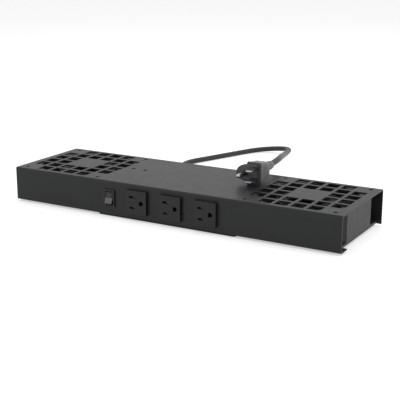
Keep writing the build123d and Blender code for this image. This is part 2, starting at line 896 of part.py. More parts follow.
def earth_ring():
    """Ring terminal on the stud."""
    inside = rear - sheet
    ring = rod_y(stud_x, panel_middle, inside - ring_thickness, inside, ring_radius)
    x0 = stud_x - neck_wide / 2
    x1 = stud_x + neck_wide / 2
    neck = block(x0, x1, inside - ring_thickness, inside, panel_middle - barrel_end, panel_middle)
    barrel = block(x0, x1, inside - barrel_deep, inside,
                   panel_middle - barrel_end, panel_middle - barrel_start)
    ring = ring + neck + barrel
    return ring - rod_y(stud_x, panel_middle, inside - stud_length, rear, stud_radius + screw_fit)


def earth_nut():
    inside = rear - sheet - ring_thickness
    nut = extrude(RegularPolygon(stud_nut / 2, 6, major_radius=False), stud_nut_height)
    nut -= Cylinder(stud_radius + seat_fit, 4 * stud_nut_height)
    return Pos(stud_x, inside, panel_middle) * Rot(90, 0, 0) * nut


# Wires

def wire(*points):
    """Insulated wire along straight runs with round corners."""
    path = FilletPolyline(*points, radius=wire_bend)
    return sweep(Plane(origin=path @ 0, z_dir=path % 0) * Circle(wire_radius), path=path)


def fan_leads(side):
    """Two wires from a fan's lower coil, along the grooved strut and the grommet, to the terminal block."""
    leads = []
    start = side * (fan_x - lead_start_radius)
    coil_under = lip_top + core_low - coil_fit - coil_wall
    up_y = block_front - wire_rise
    for way, offset in ((0, side), (1, -side)):
        y = middle_y + offset * (wire_radius + wire_fit)
        x = way_x(way) + side * wire_row
        points = [(start, y, coil_under), (start, y, lead_z)]
        cross = lead_z
        if side > 0:
            inside = divider_x - divider_thickness - lead_ramp
            cross = lead_z + lead_cross
            points += [(inside, y, lead_z), (inside - lead_ramp, y, cross)]
        points += [(x, y, cross), (x, up_y, cross), (x, up_y, mouth_z - wire_row),
                   (x, block_front + wire_grip, mouth_z - wire_row)]
        leads.append(wire(*points))
    return leads


def live_wires():
    """Cord to switch, switch to the block's first way, and that way to the outlets' upper bar."""
    x = grip_x - wire_bundle
    by = switch_x + wire_bend
    low, high = switch_tab_heights()
    feed = wire((x, lead_inner, grip_z), (x, lead_inner - core_run, grip_z),
                (by, lead_inner - core_cross, grip_z), (by, switch_tab_end + feed_drop, grip_z),
                (switch_x, switch_tab_end + tab_run, low), (switch_x, switch_tab_end, low))
    top = mouth_z + wire_row
    switched = wire((switch_x, switch_tab_end, high), (switch_x, switch_tab_end + switched_run, high),
                    (way_x(0), switch_tab_end + switched_cross, top),
                    (way_x(0), block_front + wire_grip, top))
    bar = bar_ends(slot_group)[0]
    bar_middle = bar_y + bar_thickness / 2
    z = panel_middle + prong_pitch / 2
    over = roof - link_under_roof
    link = wire((way_x(0), block_rear - wire_grip, mouth_z), (way_x(0), block_rear + link_run, mouth_z),
                (way_x(0), block_rear + block_run, over), (bar - live_bar_run, block_rear + block_run, over),
                (bar - bar_approach, block_front - link_run, z + link_run), (bar - tab_run, bar_middle, z),
                (bar, bar_middle, z))
    return [feed, switched, link]


def neutral_wires():
    """Cord to the block's middle way, and that way to the outlets' lower bar."""
    z = grip_z + wire_bundle
    feed = wire((grip_x, lead_inner, z), (grip_x, lead_inner - neutral_run, z),
                (way_x(1), block_rear + block_run, mouth_z), (way_x(1), block_rear - wire_grip, mouth_z))
    top = mouth_z + wire_row
    bar = bar_ends(slot_group)[0]
    bar_middle = bar_y + bar_thickness / 2
    low = panel_middle - prong_pitch / 2
    link = wire((way_x(1), block_front + wire_grip, top), (way_x(1), block_front - block_run, top),
                (bar - neutral_bar_run, bar_y + link_run, low + tab_run),
                (bar - bar_approach, bar_middle, low), (bar, bar_middle, low))
    return [feed, link]


def earth_wires():
    """Cord to the block's last way, that way to the outlets' middle bar, and to the ring on the stud."""
    x = grip_x + wire_bundle
    feed = wire((x, lead_inner, grip_z), (x, lead_inner - core_run, grip_z),
                (way_x(2), block_rear + block_run, mouth_z), (way_x(2), block_rear - wire_grip, mouth_z))
    top = mouth_z + wire_row
    bar = bar_ends(slot_group + prong_offset)[0]
    bar_middle = bar_y + bar_thickness / 2
    link = wire((way_x(2), block_front + wire_grip, top), (way_x(2), block_front - earth_link_run, top),
                (bar - earth_bar_run, bar_middle, panel_middle), (bar, bar_middle, panel_middle))
    under = mouth_z - wire_row
    low = lip_top + wire_radius + earth_floor
    down_y = block_front - wire_rise - earth_back
    barrel_y = rear - sheet - barrel_deep / 2
    ring = wire((way_x(2), block_front + wire_grip, under), (way_x(2), down_y, under),
                (way_x(2), down_y, low), (stud_x, block_rear + stud_cross, low), (stud_x, barrel_y, low),
                (stud_x, barrel_y, panel_middle - barrel_end))
    return [feed, link, ring]


# Cord and plug

def cord_grip():
    """Moulded strain relief: a barbed bush in the rear panel and a tapered sleeve on the cord."""
    bore = cord_radius + cord_fit
    inside = rear - sheet
    profile = [
        (bore, inside - grip_inside), (grip_hole - grip_lead_in, inside - grip_inside),
        (grip_barb, inside - grip_step), (grip_barb, inside), (grip_hole, inside), (grip_hole, rear),
        (grip_flange, rear), (grip_flange, rear + grip_flange_width),
        (grip_root, rear + grip_flange_width + grip_step),
        (grip_tip, rear + grip_sleeve), (bore, rear + grip_sleeve)]
    sleeve = turned_y(profile) - ribs(rear + grip_flange_width + rib_pitch, grip_root, grip_tip)
    return Pos(grip_x, 0, grip_z) * sleeve


def ribs(start, root, tip):
    """Row of ring grooves that leaves a sleeve its ribs."""
    grooves = []
    for number in range(rib_count):
        y = start + number * rib_pitch
        grooves.append(rod_y(0, 0, y, y + rib_gap, 2 * root) - rod_y(0, 0, y, y + rib_gap, tip - rib_floor))
    return grooves


def corner_radii(points):
    """Bend radius at each inner point, from its share of the shorter run."""
    radii = []
    for a, b, c in zip(points, points[1:], points[2:]):
        into = Vector(*b) - Vector(*a)
        out = Vector(*c) - Vector(*b)
        half = math.radians(into.get_angle(out)) / 2
        radii.append(bend_share * min(into.length, out.length) / math.tan(half))
    return radii


def cord_tube(points):
    """Round cord along straight runs joined by tangent arcs."""
    radii = corner_radii(points)
    path = FilletPolyline(*points, radius=radii)
    section = Plane(origin=path @ 0, z_dir=path % 0) * Circle(cord_radius)
    tube = sweep(section, path=path)
    area = math.pi * cord_radius ** 2
    print("cord: length %.1f, radii %s" % (path.length, ", ".join("%.0f" % r for r in radii)))
    print("cord: volume %.1f, section times length %.1f" % (tube.volume, area * path.length))
    return tube


def cord_coil():
    """Outer shape of the put-away turns."""
    ring = Cylinder(coil_outer, coil_tall) - Cylinder(coil_inner, 2 * coil_tall)
    ring = fillet(ring.edges(), coil_round)
    return Pos(coil_x, coil_y, coil_tall / 2) * ring


def plug_section(scale_x, scale_z, shift):
    """D-shaped section of the plug: a block with a round nose on the earth side."""
    wide = (plug_right - plug_left) * scale_x
    tall = plug_tall * scale_z
    centre = (plug_right + plug_left) / 2 + shift
    square = Pos(centre, plug_z) * RectangleRounded(wide, tall, plug_round * scale_z)
    nose = Pos(centre - wide / 2, plug_z) * Ellipse(plug_nose * scale_x, plug_nose_half * scale_z)
    return square + nose


def plug_body():
    """Moulded plug: straight face, tapered grip and a ribbed tail."""
    face = Plane(origin=(0, plug_face, 0), x_dir=(1, 0, 0), z_dir=(0, -1, 0))
    head = extrude(face * plug_section(1, 1, 0), -plug_face_length)
    start = plug_face + plug_face_length
    shoulder = plug_face + plug_taper
    wide = plug_right - plug_left + plug_nose
    middle = plug_right - wide / 2
    near = Plane(origin=(middle, start, plug_z), x_dir=(1, 0, 0), z_dir=(0, -1, 0))
    near = near * RectangleRounded(wide - 2 * plug_draft, plug_tall - 2 * plug_draft, plug_grip_round)
    far = Plane(origin=(plug_tail_x, shoulder, plug_z), x_dir=(1, 0, 0), z_dir=(0, -1, 0))
    far = far * RectangleRounded(plug_shoulder_wide, plug_shoulder_tall, plug_shoulder_round)
    grip = loft([near, far])
    root = shoulder - sheet
    tail = turned_y([(0, root), (plug_tail_root, root), (plug_tail_tip, plug_end), (0, plug_end)])
    tail -= ribs(shoulder + plug_rib_start, plug_tail_root, plug_tail_tip)
    body = head + grip + Pos(plug_tail_x, 0, plug_z) * tail
    for shape in plug_blades() + [plug_ground_pin()]:
        body -= shape
    return body


def plug_blades():
    """Two flat blades, one above the other."""
    blades = []
    for dz in (-prong_pitch / 2, prong_pitch / 2):
        z = plug_z + dz
        blade = block(plug_x - prong_wide / 2, plug_x + prong_wide / 2, plug_face - blade_length,
                      plug_face + prong_root, z - prong_sheet / 2, z + prong_sheet / 2)
        tip = blade.faces().sort_by(Axis.Y)[0].edges().filter_by(Axis.X)
        blades.append(chamfer(tip, prong_chamfer))
    return blades


def plug_ground_pin():
    """Round earth pin with a domed end."""
    pin = rod_y(plug_x - prong_offset, plug_z, plug_face - pin_length, plug_face + prong_root, pin_radius)
    return fillet(pin.edges().sort_by(Axis.Y)[0], pin_dome)


def write(name, shape):
    """One file per named piece; a list is a group of separate solids."""
    if isinstance(shape, list):
        shape = Compound(children=shape)
    shape.label = name
    export_step(shape, "parts/" + name + ".step")


def main():
    os.makedirs("parts", exist_ok=True)
    write("chassis", chassis())
    write("bottom_cover", bottom_cover())
    write("cover_screws", cover_screws())
    write("left_divider", divider(-1))
    write("right_divider", divider(1))
    write("left_grommet", grommet(-1))
    write("right_grommet", grommet(1))
    write("left_fan_leads", fan_leads(-1))
    write("right_fan_leads", fan_leads(1))
    fan_pieces = {
        "frame": fan_frame(),
        "stator": fan_stator(),
        "windings": fan_windings(),
        "bearings": fan_bearings(),
        "shaft": fan_shaft(),
        "rotor_cup": fan_rotor_cup(),
        "rotor_core": fan_rotor_core(),
        "impeller": fan_impeller(),
    }
    for side, x in (("left", -fan_x), ("right", fan_x)):
        for piece, shape in fan_pieces.items():
            if isinstance(shape, list):
                placed = [fan_place(x) * solid for solid in shape]
            else:
                placed = fan_place(x) * shape
            write(side + "_fan_" + piece, placed)
        write(side + "_fan_screws", fan_screws(x))
        write(side + "_fan_nuts", fan_nuts(x))
    for name, x in zip(("left", "middle", "right"), outlet_places()):
        write(name + "_outlet", outlet(x))
        write(name + "_outlet_contacts", outlet_contacts(x))
    write("outlet_bars", outlet_bars())
    write("switch_housing", switch_housing())
    write("switch_rocker", switch_rocker())
    write("switch_terminals", switch_terminals())
    write("terminal_block", terminal_block())
    write("block_screws", block_screws())
    write("earth_stud", earth_stud())
    write("earth_ring", earth_ring())
    write("earth_nut", earth_nut())
    write("live_wires", live_wires())
    write("neutral_wires", neutral_wires())
    write("earth_wires", earth_wires())
    write("cord_grip", cord_grip())
    write("cord_lead", cord_tube(lead_points))
    write("power_cord", cord_tube(cord_points))
    write("cord_coil", cord_coil())
    write("plug_body", plug_body())
    write("plug_blades", plug_blades())
    write("plug_ground_pin", plug_ground_pin())


main()
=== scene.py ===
"""Rack fan unit: finishes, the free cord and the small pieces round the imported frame.

Metres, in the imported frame: X along the unit, Y from the front panel to the rear, Z up from the table. Sizes
of new pieces are written in millimetres and made metres where their meshes are filled.
"""
import bmesh
import bpy
import json
import math
import numpy as np
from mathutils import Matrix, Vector


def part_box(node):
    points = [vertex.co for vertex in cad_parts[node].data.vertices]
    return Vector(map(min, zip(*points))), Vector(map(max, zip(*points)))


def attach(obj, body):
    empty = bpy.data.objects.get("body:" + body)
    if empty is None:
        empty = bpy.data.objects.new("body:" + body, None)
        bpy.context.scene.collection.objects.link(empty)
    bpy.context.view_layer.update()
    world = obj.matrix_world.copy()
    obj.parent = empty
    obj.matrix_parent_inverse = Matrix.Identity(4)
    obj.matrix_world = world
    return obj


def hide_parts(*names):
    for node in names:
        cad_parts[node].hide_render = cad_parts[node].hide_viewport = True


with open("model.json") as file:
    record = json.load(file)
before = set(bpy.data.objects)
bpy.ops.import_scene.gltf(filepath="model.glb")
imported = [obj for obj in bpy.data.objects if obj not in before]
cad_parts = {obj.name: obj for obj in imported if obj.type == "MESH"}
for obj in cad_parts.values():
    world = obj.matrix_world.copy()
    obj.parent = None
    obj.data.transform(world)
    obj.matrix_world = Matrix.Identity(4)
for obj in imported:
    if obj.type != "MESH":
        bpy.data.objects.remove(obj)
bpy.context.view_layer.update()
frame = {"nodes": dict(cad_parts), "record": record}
nodes = frame["nodes"]

mm = 0.001
merge_within = 1e-6
tiny = 1e-9


def node_box(name):
    """Lowest and highest corner of a node, in millimetres."""
    low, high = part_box(name)
    return np.array(low) / mm, np.array(high) / mm


# Meshes from parametric surfaces

def grid_faces(rows, columns, close_rows, close_columns, first):
    """Quads of a grid of points. Point (i, j) has index first + i * columns + j, and a closed side wraps."""
    i = np.arange(rows if close_rows else rows - 1)
    j = np.arange(columns if close_columns else columns - 1)
    i, j = np.meshgrid(i, j, indexing="ij")
    row = i * columns
    next_row = (i + 1) % rows * columns
    right = (j + 1) % columns
    quads = np.stack([row + j, row + right, next_row + right, next_row + j], axis=-1)
    return first + quads.reshape(-1, 4)


def piece(name, shells, finish, body, crease):
    """One object from grids of points in millimetres, each given with its two closed sides.

    Rows that shrink to a point are merged there, the normals are turned outwards, and edges sharper than
    `crease` degrees stay sharp.
    """
    points = []
    faces = []
    first = 0
    for grid, close_rows, close_columns in shells:
        rows, columns = grid.shape[:2]
        points.append(grid.reshape(-1, 3) * mm)
        faces.append(grid_faces(rows, columns, close_rows, close_columns, first))
        first += rows * columns
    mesh = bpy.data.meshes.new(name)
    mesh.from_pydata(np.concatenate(points), [], np.concatenate(faces).tolist())
    work = bmesh.new()
    work.from_mesh(mesh)
    bmesh.ops.remove_doubles(work, verts=work.verts, dist=merge_within)
    bmesh.ops.recalc_face_normals(work, faces=work.faces)
    work.to_mesh(mesh)
    work.free()
    mesh.shade_smooth()
    mesh.set_sharp_from_angle(angle=math.radians(crease))
    made = bpy.data.objects.new(name, mesh)
    bpy.context.scene.collection.objects.link(made)
    mesh.materials.append(finish)
    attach(made, body)
    return made


def ring_angles(count):
    """Even angles round a full turn."""
    return np.linspace(0, 2 * np.pi, count, endpoint=False)


def round_shell(radii, heights, angles, centre, axis="z", sign=1.0):
    """Shell round an axis: point (i, j) lies at radii[i, j] from it, at angles[j], heights[i, j] along it."""
    radii = np.broadcast_to(np.asarray(radii, dtype=float), (len(radii), len(angles)))
    heights = np.broadcast_to(np.asarray(heights, dtype=float), radii.shape)
    across = radii * np.cos(angles)
    along = radii * np.sin(angles)
    if axis == "z":
        grid = np.stack([across, along, sign * heights], axis=-1)
    else:
        grid = np.stack([across, sign * heights, along], axis=-1)
    return grid + np.array(centre), False, True


def column(values):
    """One value for each row of a grid."""
    return np.array(values, dtype=float)[:, None]


def smooth_step(value):
    """0 below 0, 1 above 1, and an even S between."""
    value = np.clip(value, 0.0, 1.0)
    return value * value * (3 - 2 * value)


def signed_power(value, power):
    """Power of a value's size, with the value's sign."""
    return np.sign(value) * np.abs(value) ** power


def oblong_radius(turn, half_wide, half_high, power):
    """Radius of a rounded oblong: (|cos / half_wide|^power + |sin / half_high|^power)^(-1 / power)."""
    wide = np.abs(np.cos(turn) / half_wide) ** power
    high = np.abs(np.sin(turn) / half_high) ** power
    return (wide + high) ** (-1 / power)


def ring_slots(turn, y, first, pitch, open_share, edge, count, bridge):
    """Share of a slot's depth at each (y, turn): 1 in a slot, 0 beside it and on its two bridges.

    From `first` on, a slot takes `open_share` of each pitch, with smooth steps of `edge` at its sides. Every
    other slot is turned by a quarter, and a bridge stands where the cosine's size is under `bridge`.
    """
    bridge_edge = 0.12
    phase = (y - first) / pitch
    number = np.floor(phase)
    within = phase - number
    cut = smooth_step(within / edge) * smooth_step((open_share - within) / edge)
    cut = cut * ((number >= 0) & (number < count))
    quarter = np.where(number % 2 == 0, 0.0, np.pi / 2)
    off_bridge = np.abs(np.cos(turn[None, :] + quarter[:, None])) - bridge
    return cut[:, None] * smooth_step(off_bridge / bridge_edge)


# Finishes

pattern_low = 0.3
pattern_high = 0.7
roughness_spread = 0.06


def new_finish(name, colour, roughness, metallic=0.0, specular=0.5):
    """Principled material; returns it with its node tree, shader and object coordinates."""
    made = bpy.data.materials.new(name)
    made.use_nodes = True
    tree = made.node_tree
    shader = tree.nodes["Principled BSDF"]
    shader.inputs["Base Color"].default_value = (*colour, 1.0)
    shader.inputs["Roughness"].default_value = roughness
    shader.inputs["Metallic"].default_value = metallic
    shader.inputs["Specular IOR Level"].default_value = specular
    place = tree.nodes.new("ShaderNodeTexCoord").outputs["Object"]
    return made, tree, shader, place


def noise(tree, place, scale, detail=3.0):
    """Noise over the object's own coordinates, about `scale` features per metre."""
    made = tree.nodes.new("ShaderNodeTexNoise")
    made.inputs["Scale"].default_value = scale
    made.inputs["Detail"].default_value = detail
    made.inputs["Roughness"].default_value = 0.55
    tree.links.new(place, made.inputs["Vector"])
    return made.outputs["Fac"]


def spread(tree, value, low, high, start=pattern_low, end=pattern_high):
    """Maps start..end of a pattern to low..high, without going past them."""
    made = tree.nodes.new("ShaderNodeMapRange")
    made.inputs["From Min"].default_value = start
    made.inputs["From Max"].default_value = end
    made.inputs["To Min"].default_value = low
    made.inputs["To Max"].default_value = high
    tree.links.new(value, made.inputs["Value"])
    return made.outputs["Result"]


def shade_between(tree, value, dark, light, socket):
    """Colour between two shades by a pattern."""
    ramp = tree.nodes.new("ShaderNodeValToRGB")
    first, last = ramp.color_ramp.elements
    first.color = (*dark, 1.0)
    last.color = (*light, 1.0)
    first.position = pattern_low
    last.position = pattern_high
    tree.links.new(value, ramp.inputs["Fac"])
    tree.links.new(ramp.outputs["Color"], socket)


def surface_bump(tree, shader, value, depth):
    """Bump of the given depth in metres."""
    made = tree.nodes.new("ShaderNodeBump")
    made.inputs["Strength"].default_value = 1.0
    made.inputs["Distance"].default_value = depth
    tree.links.new(value, made.inputs["Height"])
    tree.links.new(made.outputs["Normal"], shader.inputs["Normal"])


def grained(name, colour, roughness, vary, grain, depth, metallic=0.0, cloud=35.0, specular=0.5):
    """Even finish with a fine grain, a slow change of shade, and smoother and duller patches."""
    made, tree, shader, place = new_finish(name, colour, roughness, metallic, specular)
    dark = tuple(channel * (1 - vary) for channel in colour)
    light = tuple(channel * (1 + vary) for channel in colour)
    shade_between(tree, noise(tree, place, cloud), dark, light, shader.inputs["Base Color"])
    patches = noise(tree, place, 3 * cloud, 4.0)
    rough = spread(tree, patches, roughness * (1 - roughness_spread), roughness * (1 + roughness_spread))
    tree.links.new(rough, shader.inputs["Roughness"])
    surface_bump(tree, shader, noise(tree, place, grain, 2.0), depth)
    return made


def striped(name, dark, light, roughness, metallic, pitch, depth):
    """Thin even lines across Z, `pitch` metres apart: sheet edges of a core, or turns of wire."""
    pitch_at_scale_one = 0.314
    made, tree, shader, place = new_finish(name, light, roughness, metallic)
    wave = tree.nodes.new("ShaderNodeTexWave")
    wave.bands_direction = "Z"
    wave.inputs["Scale"].default_value = pitch_at_scale_one / pitch
    wave.inputs["Distortion"].default_value = 0.6
    wave.inputs["Detail Scale"].default_value = 3.0
    tree.links.new(place, wave.inputs["Vector"])
    shade_between(tree, wave.outputs["Fac"], dark, light, shader.inputs["Base Color"])
    surface_bump(tree, shader, wave.outputs["Fac"], depth)
    return made


finishes = {
    "painted_steel": grained("powder_coated_steel", (0.015, 0.0158, 0.0171), roughness=0.42, vary=0.05,
                             grain=900, depth=0.00003, specular=0.24),
    "black_screws": grained("black_oxide", (0.003, 0.003, 0.0033), roughness=0.6, vary=0.15,
                            grain=2500, depth=0.00002, specular=0.04),
    "plated_steel": grained("zinc_plate", (0.52, 0.52, 0.5), roughness=0.34, vary=0.1,
                            grain=1800, depth=0.00001, metallic=1.0),
    "switch_plastic": grained("switch_moulding", (0.006, 0.006, 0.0065), roughness=0.34, vary=0.06,
                              grain=3500, depth=0.00002, specular=0.3),
    "rocker_plastic": grained("rocker_moulding", (0.006, 0.006, 0.0063), roughness=0.24, vary=0.05,
                              grain=3500, depth=0.00001, specular=0.36),
    "outlet_plastic": grained("outlet_moulding", (0.0066, 0.0066, 0.0071), roughness=0.45, vary=0.05,
                              grain=3000, depth=0.00002, specular=0.3),
    "block_plastic": grained("terminal_block_nylon", (0.72, 0.7, 0.64), roughness=0.45, vary=0.05,
                             grain=2000, depth=0.00002),
    "brass": grained("stamped_brass", (0.62, 0.54, 0.4), roughness=0.34, vary=0.1,
                     grain=1500, depth=0.00001, metallic=1.0),
    "cast_frame": grained("painted_die_casting", (0.012, 0.012, 0.0122), roughness=0.5, vary=0.08,
                          grain=900, depth=0.0001, specular=0.36),
    "laminations": striped("core_sheets", (0.12, 0.12, 0.125), (0.4, 0.4, 0.41), roughness=0.5,
                           metallic=0.8, pitch=0.0005, depth=0.00006),
    "copper": striped("enamelled_wire", (0.3, 0.09, 0.03), (0.75, 0.33, 0.14), roughness=0.3,
                      metallic=0.9, pitch=0.0005, depth=0.0001),
    "black_metal": grained("black_cup", (0.004, 0.004, 0.0043), roughness=0.45, vary=0.1,
                           grain=1600, depth=0.00003, specular=0.12),
    "blade_plastic": grained("blade_moulding", (0.004, 0.004, 0.0043), roughness=0.45, vary=0.08,
                             grain=2200, depth=0.00003, specular=0.12),
    "cord_rubber": grained("cord_jacket", (0.017, 0.018, 0.0193), roughness=0.5, vary=0.08,
                           grain=2600, depth=0.00003, cloud=60.0, specular=0.4),
    "plug_plastic": grained("plug_moulding", (0.17, 0.171, 0.174), roughness=0.5, vary=0.06,
                            grain=2400, depth=0.00004),
    "live_insulation": grained("black_wire_sleeve", (0.012, 0.012, 0.012), roughness=0.35, vary=0.06,
                               grain=2500, depth=0.00001),
    "neutral_insulation": grained("white_wire_sleeve", (0.74, 0.73, 0.7), roughness=0.38, vary=0.05,
                                  grain=2500, depth=0.00001),
    "earth_insulation": grained("green_wire_sleeve", (0.03, 0.24, 0.07), roughness=0.35, vary=0.06,
                                grain=2500, depth=0.00001),
    "prong_metal": grained("nickel_plate", (0.42, 0.41, 0.39), roughness=0.26, vary=0.08,
                           grain=2000, depth=0.00001, metallic=1.0),
}
bridge_plastic = grained("plug_bridge_moulding", (0.092, 0.096, 0.102), roughness=0.45, vary=0.06,
                         grain=2600, depth=0.00003, specular=0.4)
# Darker copy of the grip's plastic for the plug's front rim: painted shade on the front faces.
shaded_rim_plastic = grained("plug_rim_painted_shade", (0.05, 0.051, 0.053), roughness=0.5, vary=0.06,
                      grain=2600, depth=0.00003, specular=0.3)
# Dark plastic for the sleeves at the prong roots: painted shade and painted dark reflection there.
root_shade_plastic = grained("prong_root_painted_shade", (0.012, 0.0125, 0.013), roughness=0.5, vary=0.06,
                         grain=2600, depth=0.00002, specular=0.3)
mark_print = grained("switch_mark_print", (0.1, 0.1, 0.1), roughness=0.5, vary=0.04,
                     grain=4000, depth=0.000005)
tie_fabric = grained("tie_webbing", (0.016, 0.016, 0.017), roughness=0.8, vary=0.25,
                     grain=1500, depth=0.00015)

for entry in frame["record"]["subparts"]:
    node_mesh = nodes[entry["node"]].data
    node_mesh.materials.clear()
    node_mesh.materials.append(finishes[entry["material_slot"]])


# Camera

camera_place = (0.53768, -0.91263, 0.31157)
camera_forward = (-0.4799, 0.8351, -0.2688)
camera_lens = 83.43


def photo_camera():
    """Camera solved from the photograph, for a sensor 36 mm wide."""
    lens = bpy.data.cameras.new("photo_camera")
    lens.lens = camera_lens
    lens.sensor_width = 36.0
    lens.clip_start = 0.05
    lens.clip_end = 50.0
    made = bpy.data.objects.new("photo_camera", lens)
    made.location = camera_place
    made.rotation_euler = Vector(camera_forward).to_track_quat("-Z", "Y").to_euler()
    bpy.context.scene.collection.objects.link(made)
    bpy.context.scene.camera = made


photo_camera()


# Cord, as one line from inside the grip, through the coil, to the plug

rear = 64.097
grip_x = -68.0
grip_z = 17.0
cord_radius = 3.7
coil_x = -114.7
coil_y = 115.4
upper_layer = 11.1
lower_layer = 3.7
outer_turn = 44.7
turn_pitch = 7.45
turn_count = 5
turn_points = 24
lead_angle = 12.0
exit_angle = 52.0
step_span = 120.0
step_lag = 44.0
tie_angle = 300.0
tie_thick = 0.7
tie_lift = 0.7
tie_spread = 12.0

lead_points = [
    (grip_x, 45.6, grip_z),
    (grip_x, 99.1, grip_z),
    (grip_x - 1.0, 112.0, 14.0),
]
run_points = [
    (-92.6, 156.8, 3.7),
    (-113.4, 169.7, 3.7),
    (-126.3, 191.0, 3.7),
    (-128.0, 216.0, 3.7),
    (-115.0, 247.0, 3.7),
    (-101.0, 283.0, 3.7),
    (-89.0, 314.0, 3.7),
    (-79.5, 331.0, 4.2),
    (-64.5, 342.0, 5.5),
    (-49.0, 345.2, 7.2),
    (-34.0, 340.8, 9.3),
    (-22.0, 329.0, 11.3),
    (-15.0, 310.3, 13.4),
    (-5.5, 281.5, 17.2),
    (8.5, 243.0, 24.0),
    (28.0, 197.0, 33.8),
    (47.0, 152.0, 44.0),
    (63.5, 112.0, 52.3),
    (73.5, 84.0, 56.2),
    (77.0, 57.0, 56.4),
]


def turn_step(degrees, start):
    """Smooth step over the `step_span` of degrees that begins at `start`."""
    return smooth_step((degrees - start) / step_span)


def coil_points():
    """Turns of the put-away length: five turns round the centre, two upper ones on three lower ones.

    Past the angle at which the cord leaves, the lower turns step out by a turn's pitch, then the third turn
    drops inside them, then the upper turns step in. The height rises a little where the tie goes round. The
    points stand out by 1 / cos(pi / turn_points), because the cord runs through the middles of their sides.
    """
    last_angle = turn_count * 360.0 + exit_angle
    count = round((last_angle - lead_angle) / 360.0 * turn_points)
    degrees = np.linspace(lead_angle, last_angle, count)
    outwards = turn_step(degrees, last_angle - 720.0) + turn_step(degrees, last_angle - 360.0)
    drop = turn_step(degrees, 720.0 + exit_angle + step_lag)
    inward_start = exit_angle + 2 * step_lag
    inwards = turn_step(degrees, inward_start) + turn_step(degrees, inward_start + 360.0)
    radius = (outer_turn - turn_pitch * (inwards - outwards)) / math.cos(math.pi / turn_points)
    off_tie = (degrees - tie_angle + 180.0) % 360.0 - 180.0
    lift = tie_lift * np.exp(-(off_tie / tie_spread) ** 2)
    height = upper_layer + (lower_layer - upper_layer) * drop + lift
    angle = np.radians(degrees)
    return np.stack([coil_x + radius * np.cos(angle), coil_y + radius * np.sin(angle), height], axis=-1)


def mains_cord():
    """Round jacket along a smooth line through the route's points."""
    points = np.concatenate([lead_points, coil_points(), run_points]) * mm
    line = bpy.data.curves.new("mains_cord", "CURVE")
    line.dimensions = "3D"
    spline = line.splines.new("NURBS")
    spline.points.add(len(points) - 1)
    weighted = np.concatenate([points, np.ones((len(points), 1))], axis=1)
    spline.points.foreach_set("co", weighted.ravel())
    spline.order_u = 3
    spline.use_endpoint_u = True
    spline.resolution_u = 6
    line.bevel_depth = cord_radius * mm
    line.bevel_resolution = 6
    line.use_fill_caps = True
    line.materials.append(finishes["cord_rubber"])
    made = bpy.data.objects.new("mains_cord", line)
    bpy.context.scene.collection.objects.link(made)
    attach(made, "root")
    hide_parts("cord_lead", "cord_coil", "power_cord")
    return made


def bundle_tie():
    """Webbing strap round the bundle: a flat rounded strip carried round a loop that hugs the five turns.

    The loop is a rounded oblong whose top sinks towards its outer side, where only the lower layer has a
    turn. The strip's section is a rounded rectangle, wide along the bundle and thin across it: its half sides
    times signed powers of the cosine and the sine.
    """
    wide = 9.0
    corner_power = 5.0
    outer_sink = 3.4
    floor_gap = 0.05
    inner = outer_turn - 2 * turn_pitch - cord_radius
    outer = outer_turn + cord_radius
    low = lower_layer + tie_lift - cord_radius
    high = upper_layer + tie_lift + cord_radius
    middle_r = (inner + outer) / 2
    middle_z = (low + high) / 2
    half_r = (outer - inner) / 2 + tie_thick / 2
    half_z = (high - low) / 2 + tie_thick / 2
    turn = ring_angles(72)
    reach = oblong_radius(turn, half_r, half_z, corner_power)
    loop_r = middle_r + reach * np.cos(turn)
    loop_z = middle_z + reach * np.sin(turn)
    outer_share = np.clip((loop_r - (outer - turn_pitch)) / turn_pitch, 0.0, 1.0)
    top_share = np.clip((loop_z - middle_z) / half_z, 0.0, 1.0)
    loop_z = loop_z - outer_sink * outer_share * top_share
    loop_z = np.maximum(loop_z, tie_thick / 2 + floor_gap)
    tangent_r = np.roll(loop_r, -1) - np.roll(loop_r, 1)
    tangent_z = np.roll(loop_z, -1) - np.roll(loop_z, 1)
    tangent_size = np.hypot(tangent_r, tangent_z)
    section = ring_angles(16)
    along = wide / 2 * signed_power(np.cos(section), 0.3)
    across = tie_thick / 2 * signed_power(np.sin(section), 0.5)
    radial = loop_r[:, None] + (tangent_z / tangent_size)[:, None] * across
    height = loop_z[:, None] - (tangent_r / tangent_size)[:, None] * across
    side = np.broadcast_to(along, radial.shape)
    angle = math.radians(tie_angle)
    x = coil_x + radial * math.cos(angle) - side * math.sin(angle)
    y = coil_y + radial * math.sin(angle) + side * math.cos(angle)
    grid = np.stack([x, y, height], axis=-1)
    return piece("coil_tie", [(grid, True, True)], tie_fabric, "root", crease=50.0)


# Strain relief in the rear panel

